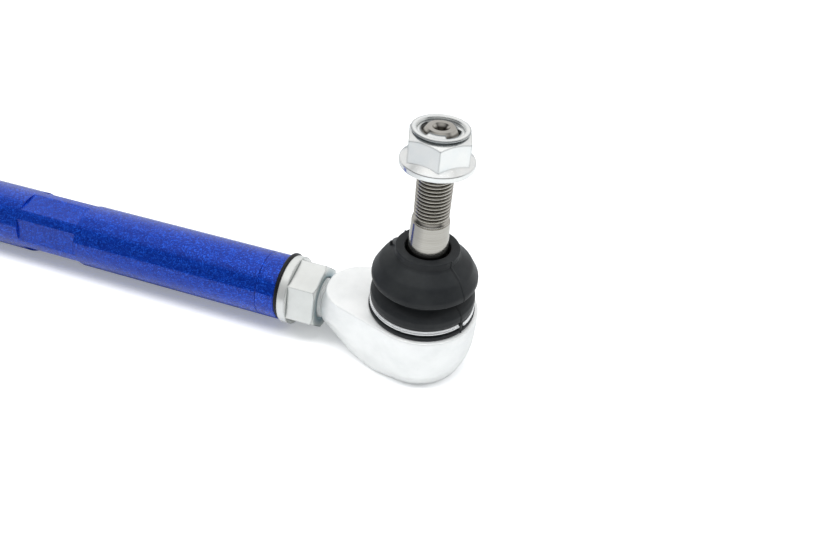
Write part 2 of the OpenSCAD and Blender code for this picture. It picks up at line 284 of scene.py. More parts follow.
def noise(nodes, links, place, scale, detail=3, rough=0.5, stretch=None):
    if stretch:
        mapping = nodes.new("ShaderNodeMapping")
        mapping.inputs["Scale"].default_value = stretch
        links.new(place, mapping.inputs["Vector"])
        place = mapping.outputs["Vector"]
    grain = nodes.new("ShaderNodeTexNoise")
    grain.inputs["Scale"].default_value = scale
    grain.inputs["Detail"].default_value = detail
    grain.inputs["Roughness"].default_value = rough
    links.new(place, grain.inputs["Vector"])
    return grain.outputs["Fac"]

def spread(nodes, links, value, low, high, to0, to1):
    scale = nodes.new("ShaderNodeMapRange")
    sockets = ("From Min", "From Max", "To Min", "To Max")
    for socket, number in zip(sockets, (low, high, to0, to1)):
        scale.inputs[socket].default_value = number
    links.new(value, scale.inputs["Value"])
    return scale.outputs["Result"]

def reckon(nodes, links, how, first, second):
    result = nodes.new("ShaderNodeMath")
    result.operation = how
    links.new(first, result.inputs[0])
    links.new(second, result.inputs[1])
    return result.outputs["Value"]

def lengthOf(nodes, links, place):
    length = nodes.new("ShaderNodeVectorMath")
    length.operation = "LENGTH"
    links.new(place, length.inputs[0])
    return length.outputs["Value"]

def distanceFrom(nodes, links, place, centre, keep):  # only the kept axes count
    centred = nodes.new("ShaderNodeMapping")
    centred.inputs["Location"].default_value = [-c * mm * k for c, k in zip(centre, keep)]
    centred.inputs["Scale"].default_value = keep
    links.new(place, centred.inputs["Vector"])
    return lengthOf(nodes, links, centred.outputs["Vector"])

def mixColors(nodes, links, value, first, second):
    mix = nodes.new("ShaderNodeMix")
    mix.data_type = "RGBA"
    links.new(value, mix.inputs[0])
    for socket, color in ((mix.inputs[6], first), (mix.inputs[7], second)):
        if hasattr(color, "is_linked"):
            links.new(color, socket)
        else:
            socket.default_value = (*color, 1)
    return mix.outputs[2]

def bumps(nodes, links, height, strength, distance):
    bump = nodes.new("ShaderNodeBump")
    bump.inputs["Strength"].default_value = strength
    bump.inputs["Distance"].default_value = distance * mm
    links.new(height, bump.inputs["Height"])
    return bump.outputs["Normal"]

paintLook = {"deep": (0.0015, 0.029, 0.325), "pale": (0.003, 0.041, 0.41),
             "flake": (0.02, 0.15, 1.0), "flakeScale": 2600, "share": (0.70, 0.95),
             "cloudScale": 260, "cloud": (0.35, 0.65), "metallic": 0.62,
             "roughness": (0.36, 0.24), "tilt": 0.8, "tiltDepth": 0.06, "coat": 0.8,
             "coatRoughness": 0.04, "peelScale": 420, "peel": 0.05, "peelDepth": 0.1}

def bluePaint():  # metal flakes in a deep blue, under a clear coat
    look = paintLook
    finish, nodes, links, shader, place = startFinish("bluePaint")
    flakes = nodes.new("ShaderNodeTexVoronoi")
    flakes.inputs["Scale"].default_value = look["flakeScale"]
    links.new(place, flakes.inputs["Vector"])
    split = nodes.new("ShaderNodeSeparateColor")
    links.new(flakes.outputs["Color"], split.inputs["Color"])
    flake = spread(nodes, links, split.outputs["Red"], *look["share"], 0, 1)
    cloud = noise(nodes, links, place, look["cloudScale"], 4, 0.6)
    ground = mixColors(nodes, links, spread(nodes, links, cloud, *look["cloud"], 0, 1),
                       look["deep"], look["pale"])
    links.new(mixColors(nodes, links, flake, ground, look["flake"]), shader.inputs["Base Color"])
    shader.inputs["Metallic"].default_value = look["metallic"]
    shader.inputs["Specular IOR Level"].default_value = 0
    links.new(spread(nodes, links, flake, 0, 1, *look["roughness"]), shader.inputs["Roughness"])
    links.new(bumps(nodes, links, split.outputs["Blue"], look["tilt"], look["tiltDepth"]),
              shader.inputs["Normal"])
    shader.inputs["Coat Weight"].default_value = look["coat"]
    shader.inputs["Coat Roughness"].default_value = look["coatRoughness"]
    peel = noise(nodes, links, place, look["peelScale"], 2)
    links.new(bumps(nodes, links, peel, look["peel"], look["peelDepth"]),
              shader.inputs["Coat Normal"])
    return finish

# corner and edge set how strong the painted shade in inner corners and the painted dark
# reflections on outer edges are
metalLooks = {
    "forgedZinc": {"color": (0.97, 0.975, 0.965), "dull": (0.88, 0.89, 0.88), "scale": 90,
                   "metallic": 0.5, "roughness": (0.34, 0.48), "grain": 1500, "bump": 0.22,
                   "depth": 0.06},
    "zincPlate": {"color": (0.84, 0.85, 0.825), "dull": (0.77, 0.78, 0.755), "scale": 100,
                  "metallic": 0.65, "roughness": (0.28, 0.40), "grain": 1500, "bump": 0.18,
                  "depth": 0.05},
    # the jam nut's darker end colour is painted shade and painted dark reflection
    "jamZinc": {"color": (0.84, 0.85, 0.825), "dull": (0.77, 0.78, 0.755), "scale": 100,
                "metallic": 0.65, "roughness": (0.28, 0.40), "grain": 1500, "bump": 0.18,
                "depth": 0.05, "corner": 0.75, "edge": 0.6, "cut": (0.22, 0.32, 0.36),
                "cutFrom": 136.28, "cutFull": 136.52, "cutIn": 10.2, "cutOut": 14.4},
    "nutZinc": {"color": (0.95, 0.95, 0.93), "dull": (0.88, 0.90, 0.90), "scale": 180,
                "metallic": 0.85, "roughness": (0.09, 0.20), "grain": 900, "bump": 0.08,
                "depth": 0.03, "corner": 0.5, "edge": 0.8},
    "springSteel": {"color": (0.32, 0.33, 0.35), "dull": (0.20, 0.21, 0.22), "scale": 160,
                    "metallic": 1, "roughness": (0.30, 0.45), "grain": 1200, "bump": 0.08,
                    "depth": 0.03},
    "clipWire": {"color": (0.96, 0.965, 0.97), "dull": (0.88, 0.89, 0.90), "scale": 200,
                 "metallic": 0.7, "roughness": (0.12, 0.24), "grain": 1600, "bump": 0.03,
                 "depth": 0.02},
}

# painted shade darkens inner corners, and painted dark reflections darken outer edges, both from
# ambient occlusion
paintedShadeAndReflection = {"color": (0.13, 0.15, 0.155),
        "corner": {"reach": 1.2, "inside": False, "full": 0.56, "none": 0.9},
        "edge": {"reach": 0.75, "inside": True, "full": 0.6, "none": 0.94}}

def metalFinish(name):
    look = metalLooks[name]
    finish, nodes, links, shader, place = startFinish(name)
    blotch = noise(nodes, links, place, look["scale"], 5, 0.6)
    color = mixColors(nodes, links, spread(nodes, links, blotch, 0.35, 0.68, 0, 1),
                      look["color"], look["dull"])
    if "cut" in look:  # the end by the shank gets painted shade and painted dark reflection, darker than the hexagon's flats
        out = distanceFrom(nodes, links, place, (0, 0, 0), (1, 0, 0))
        away = distanceFrom(nodes, links, place, (0, 0, link["axisHeight"]), (0, 1, 1))
        atEnds = spread(nodes, links, out, look["cutFrom"] * mm, look["cutFull"] * mm, 0, 1)
        byShank = spread(nodes, links, away, look["cutIn"] * mm, look["cutOut"] * mm, 1, 0)
        share = reckon(nodes, links, "MULTIPLY", atEnds, byShank)
        color = mixColors(nodes, links, share, color, look["cut"])
    # painted shade in inner corners and painted dark reflections on outer edges
    for key in ("corner", "edge"):
        if key in look:
            rule = paintedShadeAndReflection[key]
            near = nodes.new("ShaderNodeAmbientOcclusion")
            near.samples = 8
            near.only_local = True
            near.inside = rule["inside"]
            near.inputs["Distance"].default_value = rule["reach"] * mm
            share = spread(nodes, links, near.outputs["AO"], rule["full"], rule["none"],
                           look[key], 0)
            color = mixColors(nodes, links, share, color, paintedShadeAndReflection["color"])
    links.new(color, shader.inputs["Base Color"])
    shader.inputs["Metallic"].default_value = look["metallic"]
    grain = noise(nodes, links, place, look["grain"], 3, 0.6)
    links.new(spread(nodes, links, grain, 0.3, 0.7, *look["roughness"]),
              shader.inputs["Roughness"])
    links.new(bumps(nodes, links, grain, look["bump"], look["depth"]), shader.inputs["Normal"])
    return finish

studLook = {"color": (0.55, 0.53, 0.49), "rootTone": (0.06, 0.055, 0.045),
            "streak": (0.42, 0.40, 0.36), "roughness": (0.10, 0.23), "lines": (30, 30, 5200),
            "bump": 0.12, "depth": 0.02, "root": 6.15, "crest": 6.95, "threadFoot": 75.6,
            "threadTop": 111.3, "fade": 0.3}

def studSteel(x):  # darker in the thread's root, between the thread's foot and top
    look, fade = studLook, studLook["fade"]
    finish, nodes, links, shader, place = startFinish("studSteel" + ("Right" if x > 0 else "Left"))
    lines = noise(nodes, links, place, 1, 4, 0.7, look["lines"])
    base = mixColors(nodes, links, spread(nodes, links, lines, 0.35, 0.7, 0, 1),
                     look["color"], look["streak"])
    away = distanceFrom(nodes, links, place, (x, 0, 0), (1, 1, 0))
    rootShare = spread(nodes, links, away, look["root"] * mm, look["crest"] * mm, 1, 0)
    axes = nodes.new("ShaderNodeSeparateXYZ")
    links.new(place, axes.inputs["Vector"])
    for height, below, above in ((look["threadFoot"], 0, 1), (look["threadTop"], 1, 0)):
        limit = spread(nodes, links, axes.outputs["Z"], (height - fade) * mm,
                       (height + fade) * mm, below, above)
        rootShare = reckon(nodes, links, "MULTIPLY", rootShare, limit)
    links.new(mixColors(nodes, links, rootShare, base, look["rootTone"]), shader.inputs["Base Color"])
    shader.inputs["Metallic"].default_value = 1
    links.new(spread(nodes, links, lines, 0.3, 0.7, *look["roughness"]),
              shader.inputs["Roughness"])
    links.new(bumps(nodes, links, lines, look["bump"], look["depth"]), shader.inputs["Normal"])
    return finish

softLooks = {
    "bootRubber": {"color": (0.017, 0.0185, 0.020), "bloom": (0.025, 0.027, 0.028),
                   "scale": 120, "roughness": (0.34, 0.46), "grain": 1400, "bump": 0.10,
                   "depth": 0.04, "specular": 0.18},
    "sealRubber": {"color": (0.007, 0.007, 0.008), "bloom": (0.016, 0.016, 0.016), "scale": 150,
                   "roughness": (0.26, 0.42), "grain": 1500, "bump": 0.08, "depth": 0.03,
                   "specular": 0.25},
    "bearingPlastic": {"color": (0.78, 0.76, 0.66), "bloom": (0.70, 0.68, 0.58), "scale": 90,
                       "roughness": (0.34, 0.46), "grain": 1300, "bump": 0.05, "depth": 0.03,
                       "specular": 0.5},
}

def softFinish(name):
    look = softLooks[name]
    finish, nodes, links, shader, place = startFinish(name)
    shader.inputs["Specular IOR Level"].default_value = look["specular"]
    bloom = noise(nodes, links, place, look["scale"], 5, 0.65)
    links.new(mixColors(nodes, links, spread(nodes, links, bloom, 0.4, 0.72, 0, 1),
                        look["color"], look["bloom"]), shader.inputs["Base Color"])
    grain = noise(nodes, links, place, look["grain"], 3, 0.6)
    links.new(spread(nodes, links, grain, 0.3, 0.7, *look["roughness"]),
              shader.inputs["Roughness"])
    links.new(bumps(nodes, links, grain, look["bump"], look["depth"]), shader.inputs["Normal"])
    return finish

blue = bluePaint()
metals = {name: metalFinish(name) for name in metalLooks}
softs = {name: softFinish(name) for name in softLooks}
studs = {"right": studSteel(link["studX"]), "left": studSteel(-link["studX"])}
print("finishes mixed")


tubeSizes = {"outer": 15, "bore": 11, "collar": 9, "spigot": 28, "seam": 0.4, "flatHalf": 14,
             "flats": 6, "flatLength": 32, "flatTurn": 43, "edge": 0.25, "threadBore": 9.05,
             "spigotGap": 0.02}

def makeTube():
    half = link["tubeEnd"] - tubeSizes["collar"]
    r, bore, seam = tubeSizes["outer"], tubeSizes["bore"], tubeSizes["seam"]
    tube = turned("tube_body", rounded([(bore, -half), (r, -half, seam), (r, half, seam),
                                        (bore, half)], 3), 144)
    nothingSelected()
    bpy.ops.mesh.primitive_cube_add(size=1)
    cutter = bpy.context.object
    cutter.scale = (r * mm, 2 * r * mm, tubeSizes["flatLength"] * mm)
    cutter.location.x = (tubeSizes["flatHalf"] + r / 2) * mm
    settle(cutter)
    cutter.rotation_euler.z = math.radians(tubeSizes["flatTurn"])
    settle(cutter)
    edit(cutter)
    bpy.ops.mesh.select_all(action="SELECT")
    for i in range(tubeSizes["flats"] - 1):
        bpy.ops.mesh.duplicate()
        bpy.ops.transform.rotate(value=math.radians(360 / tubeSizes["flats"]), orient_axis="Z",
                                 center_override=(0, 0, 0))
    bpy.ops.object.mode_set(mode="OBJECT")
    combine(tube, cutter, "DIFFERENCE")
    breakEdges(tube, tubeSizes["edge"], 15, 2, 14)
    onTube(tube, 0)
    dress(tube, blue, "tube", ["tube"])

def makeInsert():
    s = tubeSizes
    length, inside = s["collar"] + s["spigot"], s["bore"] - s["spigotGap"]
    insert = turned("tube_insert_right_collar", rounded([
        (s["threadBore"], 0, 0.5), (inside, 0, 0.4), (inside, s["spigot"]),
        (s["outer"], s["spigot"], s["seam"]), (s["outer"], length, 0.5),
        (s["threadBore"], length, 0.6)], 4), 144)
    smooth(insert, 30)
    onTube(insert, link["tubeEnd"] - length)
    twin = otherEnd(insert)
    for piece, end in ((insert, "right"), (twin, "left")):
        dress(piece, blue, "tube", ["tube_insert_" + end])

makeTube()
makeInsert()
print("tube and inserts made")


sealSizes = {"bore": 10, "thick": 1.8, "outer": 15.65, "offset": 0.9, "side": 58}

def makeSeal():  # sits a little off centre, so it shows at the back of the top
    t, r = sealSizes["thick"] / 2, sealSizes["outer"]
    seal = turned("seal_ring_right_squeezed", rounded([
        (sealSizes["bore"], -t, 0.3), (r, -t, 0.75), (r, t, 0.75),
        (sealSizes["bore"], t, 0.3)], 5), 120)
    smooth(seal, 50)
    onTube(seal, link["tubeEnd"] + t)
    side = math.radians(sealSizes["side"])
    seal.location = (0, math.cos(side) * sealSizes["offset"] * mm,
                     math.sin(side) * sealSizes["offset"] * mm)
    settle(seal)
    twin = otherEnd(seal)
    for piece, end in ((seal, "right"), (twin, "left")):
        dress(piece, softs["sealRubber"], end + "_seal", ["seal_ring_" + end])

makeSeal()
print("seal rings made")


jamSizes = {"flange": 15.75, "flangeHigh": 4, "across": 27, "high": 16.7, "turn": 14.7,
            "chamfer": 1.6, "bore": 9.05, "mouth": 1.4, "edge": 0.22}

def makeJamNut():
    s = jamSizes
    high, corner = s["high"], s["across"] / 2 / math.cos(math.radians(30))
    nut = hexPrism("jam_nut_right_plated", s["across"], 0, high, s["turn"])
    slope = s["chamfer"] * math.tan(math.radians(30))
    blank = turned("jamBlank", [(0, -1), (corner + 0.1, -1), (corner + 0.1, high - slope),
                                (corner - s["chamfer"], high), (0, high + 0.001)], 96)
    combine(nut, blank, "INTERSECT")
    flange = turned("jamFlange", rounded([
        (0, 0), (s["flange"], 0, 0.5), (s["flange"], s["flangeHigh"], 0.3),
        (0, s["flangeHigh"])], 4), 96)
    combine(nut, flange, "UNION")
    bore = turned("jamBore", [(0, -1), (s["bore"], -1), (s["bore"], high - 1),
                              (s["bore"] + s["mouth"], high + 0.4), (0, high + 0.4)], 96)
    combine(nut, bore, "DIFFERENCE")
    outward(nut, 0.002)
    breakEdges(nut, s["edge"], 28, 2, 32)
    onTube(nut, link["tubeEnd"] + sealSizes["thick"])
    twin = otherEnd(nut)
    for piece, end in ((nut, "right"), (twin, "left")):
        dress(piece, metals["jamZinc"], "tube", ["jam_nut_" + end])

makeJamNut()
print("jam nuts made")


shankRod = {"nominal": 18, "pitch": 1.5, "depth": 0.92, "sides": 72}
housingSizes = {"head": 24.5, "collar": 19, "collarTop": 16.2, "armEnd": 15.7, "armX": -27,
                "bossX": -42.9, "boss": 9.6, "bore": 16.1, "cupTop": 7.54, "throat": 11.53,
                "mouth": 13.85, "crimp": 14.1, "crimpHigh": 1.1, "shankStart": -36.9,
                "shank": 55, "sunk": 3, "over": 0.03, "run": 4, "point": 1.6, "voxel": 0.48,
                "relax": 5,
                # the head's side as (radius, height)
                "side": [(19.9, -18), (21.2, -15.6), (23.0, -10.6), (24.2, -5.2), (24.5, 0.5)],
                # the arm's underside as (centre x, radius, height)
                "under": [(-27, 15.7, -2.5), (-27, 14.4, -7.2), (-27, 13.5, -9.8),
                          (-24, 14.2, -12), (-18, 16.4, -14.7), (-9, 19.6, -16.6)]}

def makeHousing():
    s, low, top = housingSizes, -link["axisHeight"], link["face"]
    rings = [(0, s["head"] - 0.12, top), (s["armX"], s["armEnd"], top)] + s["under"]
    rings += [(0, r - 0.12, z + 0.1) for r, z in s["side"]]
    nothingSelected()
    bpy.ops.mesh.primitive_circle_add(vertices=64, radius=s["boss"] * mm,
                                      rotation=(0, math.radians(90), 0),
                                      location=(s["bossX"] * mm, 0, 0))
    arm = bpy.context.object
    settle(arm)
    edit(arm)
    for x, r, z in rings:
        bpy.ops.mesh.primitive_circle_add(vertices=96, radius=r * mm,
                                          location=(x * mm, 0, z * mm))
    bpy.ops.mesh.select_all(action="SELECT")
    bpy.ops.mesh.convex_hull()
    settle(arm)
    head = turned("housing_right_forging", rounded([
        (0, low), (s["side"][0][0], low, 0.8)] + [(r, z, 8) for r, z in s["side"][1:]] + [
        (s["head"], top, 0.4), (s["collar"], top, 0.3), (s["collar"], s["collarTop"] - 1.4, 0.4),
        (s["collar"] + 0.5, s["collarTop"] - 0.9, 0.3), (s["collar"] + 0.4, s["collarTop"], 0.3),
        (0, s["collarTop"])], 4, False), 128)
    combine(head, arm, "UNION")
    socket = turned("socket", [
        (0, low - 2), (s["crimp"], low - 2), (s["crimp"], low + s["crimpHigh"]),
        (s["bore"], low + s["crimpHigh"]), (s["bore"], s["cupTop"]), (s["throat"], s["cupTop"]),
        (s["mouth"], s["collarTop"]), (s["mouth"], s["collarTop"] + 2),
        (0, s["collarTop"] + 2)], 128)
    combine(head, socket, "DIFFERENCE")
    pick(head)
    bpy.ops.object.modifier_add(type="REMESH")
    melt = head.modifiers[-1]
    melt.mode = "VOXEL"
    melt.voxel_size = s["voxel"] * mm
    applyLast(head)
    bpy.ops.object.modifier_add(type="SMOOTH")
    relax = head.modifiers[-1]
    relax.factor = 0.5
    relax.iterations = s["relax"]
    applyLast(head)
    shank = threadedRod("shank", shankRod, -s["sunk"], s["shank"] + 2 * s["sunk"])
    crest, tip = shankRod["nominal"] / 2, s["shank"] + s["run"]
    blank = turned("shankBlank", rounded([
        (0, 0), (crest + s["over"], 0), (crest + s["over"], tip - shankRod["pitch"]),
        (crest - s["point"], tip), (0, tip)], 3), 96)
    combine(shank, blank, "INTERSECT")
    shank.rotation_euler.y = math.radians(-90)
    shank.location.x = s["shankStart"] * mm
    settle(shank)
    combine(head, shank, "UNION")
    outward(head, 0.001)
    smooth(head, 40)
    atEnd(head)
    twin = otherEnd(head, True)
    smooth(twin, 40)
    for piece, end in ((head, "right"), (twin, "left")):
        dress(piece, metals["forgedZinc"], end + "_housing", ["housing_" + end])

makeHousing()
print("housings made")


studRod = {"nominal": 14, "pitch": 1.5, "depth": 0.92, "sides": 72}
studSizes = {"ball": 13.5, "neck": 7, "neckTop": 22.6, "seat": 8.9, "seatFoot": 30.0,
             "seatTop": 39.6, "taper": 8.35, "taperTop": 56.0, "taperEnd": 7.53, "groove": 0.45,
             "relief": 6.05, "threadFoot": 57.5, "threadTop": 94.3, "chamfer": 2,
             "countersink": 3.2, "drill": 0.5}

def makeStud():
    s = studSizes
    ball = [(s["ball"] * math.sin(a), -s["ball"] * math.cos(a))
            for a in (math.radians(5 + 5 * k) for k in range(29))]
    body = turned("ball_stud_right_turned", [(0, -s["ball"])] + ball + rounded([
        ball[-1], (s["neck"], 12.6, 2), (s["neck"], s["neckTop"], 3),
        (s["seat"], s["seatFoot"], 1), (s["seat"], s["seatTop"], 0.3),
        (s["taper"], s["seatTop"] + 0.3, 0.1),
        (s["taperEnd"] + 0.02, s["taperTop"] - 0.6, 0.12),
        (s["taperEnd"] - s["groove"], s["taperTop"] - 0.45, 0.1),
        (s["taperEnd"] - s["groove"], s["taperTop"] - 0.1, 0.1),
        (s["taperEnd"] - 0.02, s["taperTop"] + 0.1, 0.2),
        (s["relief"] + 0.5, s["taperTop"] + 1.0, 0.4),
        (s["relief"], s["taperTop"] + 1.3, 0.1), (s["relief"], s["threadFoot"], 0)],
        4, False)[1:] + [(0, s["threadFoot"])], 96)
    rod = threadedRod("studThread", studRod, s["taperTop"] - 3,
                      s["threadTop"] - s["taperTop"] + 6)
    crest = studRod["nominal"] / 2 + 0.02
    blank = turned("studBlank", [
        (0, s["threadFoot"] - 0.7), (s["relief"] - 0.1, s["threadFoot"] - 0.7),
        (crest, s["threadFoot"] + 0.4), (crest, s["threadTop"] - s["chamfer"]),
        (crest - s["chamfer"], s["threadTop"]), (s["countersink"], s["threadTop"]),
        (s["drill"], s["threadTop"] - 3.1), (s["drill"], s["threadTop"] - 5),
        (0, s["threadTop"] - 5.4)], 96)
    combine(rod, blank, "INTERSECT")
    combine(body, rod, "UNION")
    outward(body, 0.001)
    smooth(body, 32)
    atEnd(body)
    twin = otherEnd(body)
    for piece, end in ((body, "right"), (twin, "left")):
        dress(piece, studs[end], end + "_stud", ["ball_stud_" + end])

makeStud()
print("ball studs made")


bootSizes = {"band": 22.8, "groove": 21.5, "bulge": 22.3, "crease": 17.6, "lip": 22.1,
             "shoulder": 18.9, "mouth": 13.1, "hole": 9.2, "foot": 19.8, "high": 31.4,
             "seam": -29, "seamHigh": 0.28, "seamWide": 0.45, "bendFoot": 5, "bendTop": 28,
             # a tab over the clip, and the sprue's nib: size, place and turn about the boot
             "flash": (((2.0, 1.9, 3.4), (21.55, 0, 3.0), -28.4),
                       ((1.1, 1.1, 2.8), (15.9, 0, 26.7), 174))}

def bootOutline(grow=0.0):
    s, g = bootSizes, grow
    return [
        (s["foot"], 0.3, 0.3), (s["band"] + g, 0.3, 0.35), (s["band"] + g, 1.5, 0.4),
        (s["groove"] + g, 1.7, 0.3), (s["groove"] + g, 4.2, 0.3),
        (s["bulge"] - 0.4 + g, 4.6, 0.7), (s["bulge"] + g, 6.6, 3),
        (s["bulge"] - 0.3 + g, 9.0, 1.6), (s["bulge"] - 1.6 + g, 10.6, 1.6),
        (s["crease"] + 0.4 + g, 12.5, 1), (s["crease"] + g, 13.4, 0.6),
        (s["lip"] - 1.1 + g, 15.9, 0.8), (s["lip"] + g, 16.9, 0.7), (s["lip"] - 0.1 + g, 18.9, 3),
        (s["shoulder"] + g, 24.2, 5), (s["mouth"] + 0.8 + g, 27.7, 0.7),
        (s["mouth"] + g, 28.5, 0.5), (s["mouth"] + g, s["high"], 0.5),
        (s["hole"], s["high"], 0.6)]

def makeBoot():
    s = bootSizes
    inner = [(s["hole"], 26.2, 0.5), (s["shoulder"] - 2.2, 22.4, 3), (s["lip"] - 2.4, 18.2, 1.5),
             (s["crease"] - 1.8, 14.0, 0.6), (s["crease"] - 1.8, 11.9, 0.8),
             (s["bulge"] - 2.6, 9.0, 1), (s["bulge"] - 2.0, 7, 1), (s["foot"], 5.4, 0.5)]
    boot = turned("boot_right_moulded", rounded(bootOutline() + inner, 4), 128)
    path = rounded(bootOutline(s["seamHigh"])[1:-1], 3, False)
    back = [(r - 0.9, z) for r, z in rounded(bootOutline(-0.1)[1:-1], 3, False)][::-1]
    loop = path + back
    for turn in (s["seam"], s["seam"] + 180):  # the mould's seam, front and back
        nothingSelected()
        bpy.ops.mesh.primitive_plane_add(size=mm)
        rib = bpy.context.object
        edit(rib)
        bpy.ops.mesh.select_all(action="SELECT")
        bpy.ops.mesh.merge(type="CENTER")
        bpy.ops.transform.translate(value=(loop[0][0] * mm, 0, loop[0][1] * mm))
        for (r0, z0), (r1, z1) in zip(loop, loop[1:]):
            bpy.ops.mesh.extrude_vertices_move(
                TRANSFORM_OT_translate={"value": ((r1 - r0) * mm, 0, (z1 - z0) * mm)})
        bpy.ops.mesh.select_all(action="SELECT")
        bpy.ops.mesh.edge_face_add()
        bpy.ops.mesh.extrude_region_move(
            TRANSFORM_OT_translate={"value": (0, s["seamWide"] * mm, 0)})
        bpy.ops.mesh.select_all(action="SELECT")
        bpy.ops.transform.translate(value=(0, -s["seamWide"] / 2 * mm, 0))
        settle(rib)
        rib.rotation_euler.z = math.radians(turn)
        settle(rib)
        outward(rib)
        combine(boot, rib, "UNION")
    for size, place, turn in s["flash"]:
        nothingSelected()
        bpy.ops.mesh.primitive_cube_add(size=mm)
        flash = bpy.context.object
        flash.scale = size
        settle(flash)
        breakEdges(flash, 0.3, 60, 3, 50)
        flash.location = [c * mm for c in place]
        settle(flash)
        flash.rotation_euler.z = math.radians(turn)
        settle(flash)
        combine(boot, flash, "UNION")
    outward(boot, 0.001)
    smooth(boot, 40)
    onFace(boot)
    twin = otherEnd(boot)
    for piece, end, x in ((boot, "right", link["studX"]), (twin, "left", -link["studX"])):
        dress(piece, softs["bootRubber"], None, ["boot_" + end])
        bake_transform(piece)

makeBoot()
print("boots made")


clipSizes = {"ring": 21.95, "wire": 0.45, "low": 2.3, "pitch": 1.15, "gap": 9, "turn": -28}

def makeClip():
    s = clipSizes
    nothingSelected()
    bpy.ops.mesh.primitive_circle_add(vertices=20, radius=s["wire"] * mm,
                                      rotation=(math.radians(90), 0, 0),
                                      location=(s["ring"] * mm, 0, s["low"] * mm))
    clip = bpy.context.object
    clip.name = clip.data.name = "boot_clip_right_wire"
    settle(clip)
    bpy.ops.object.modifier_add(type="SCREW")
    wind = clip.modifiers[-1]
    wind.axis = "Z"
    wind.angle = math.radians(360 - s["gap"] / 2)
    wind.screw_offset = s["pitch"] * mm
    wind.iterations = 2
    wind.steps = wind.render_steps = 120
    applyLast(clip)
    edit(clip)
    bpy.ops.mesh.select_all(action="DESELECT")
    bpy.ops.mesh.select_non_manifold()
    bpy.ops.mesh.fill_holes(sides=0)
    bpy.ops.object.mode_set(mode="OBJECT")
    outward(clip)
    clip.rotation_euler.z = math.radians(s["turn"] + s["gap"] / 2)
    settle(clip)
    breakEdges(clip, 0.12, 60, 2, 50)
    onFace(clip)
    twin = otherEnd(clip)
    for piece, end in ((clip, "right"), (twin, "left")):
        dress(piece, metals["clipWire"], end + "_housing", ["boot_clip_" + end])

makeClip()
print("clips made")


lockSizes = {"foot": 79.4, "flange": 14, "edge": 2.4, "cone": 5.15, "coneR": 9.5, "across": 22,
             "turn": 45.4, "hexTop": 12.95, "hexTopR": 10.2, "hexCorner": 11.6, "hollow": 6.9,
             "neck": 9.4, "rimLow": 13.8, "rim": 10.65, "high": 14.65, "lip": 8.55, "bore": 7.05,
             "ring": 9.0, "ringLow": 11.6, "ringTop": 13.5, "gap": 0.03, "tongue": 5.35,
             "opening": 7.15, "openings": ((-22, 37), (196, 44))}  # (turn, half its angle)

def makeLockNut():
    s = lockSizes
    corner = s["across"] / 2 / math.cos(math.radians(30))
    nut = hexPrism("lock_nut_right_plated", s["across"], 0.5, s["hexTop"], s["turn"])
    blank = turned("lockBlank", [(0, 0), (corner + 0.1, 0), (corner + 0.1, s["hexCorner"] - 0.05),
                                 (s["hexTopR"], s["hexTop"]), (0, s["hexTop"] + 0.001)], 120)
    combine(nut, blank, "INTERSECT")
    flange = turned("lockFlange", rounded([
        (0, 0), (s["flange"], 0, 0.9), (s["flange"], s["edge"], 0.5),
        (s["coneR"], s["cone"]), (0, s["cone"])], 4, False), 120)
    combine(nut, flange, "UNION")
    collar = turned("lockCollar", rounded([
        (s["hollow"], s["hexTop"] - 1.5), (s["neck"], s["hexTop"] - 1.5),
        (s["neck"], s["rimLow"] - 0.1, 0.1),
        (s["rim"], s["rimLow"] + 0.15, 0.3), (s["rim"], s["high"], 0.75),
        (s["lip"], s["high"] - 0.05, 0.45), (s["lip"], s["ringTop"] + 0.02, 0.1),
        (s["hollow"], s["ringTop"] - 0.3)], 5), 120)
    combine(nut, collar, "UNION")
    bore = turned("lockBore", [(0, -1), (s["bore"] + 0.9, -1), (s["bore"], 0.5),
                               (s["bore"], s["high"] + 1), (0, s["high"] + 1)], 96)
    combine(nut, bore, "DIFFERENCE")
    wall, lid = s["ring"] + s["gap"], s["ringTop"] + s["gap"]
    pocket = turned("lockPocket", [(0, s["ringLow"]), (wall, s["ringLow"]), (wall, lid),
                                   (0, lid)], 120)
    combine(nut, pocket, "DIFFERENCE")
    outward(nut, 0.002)
    breakEdges(nut, 0.14, 28, 2, 32)
    nut.location.z = s["foot"] * mm
    settle(nut)
    atEnd(nut)
    twin = otherEnd(nut)
    for piece, end in ((nut, "right"), (twin, "left")):
        dress(piece, metals["nutZinc"], end + "_stud", ["lock_nut_" + end])

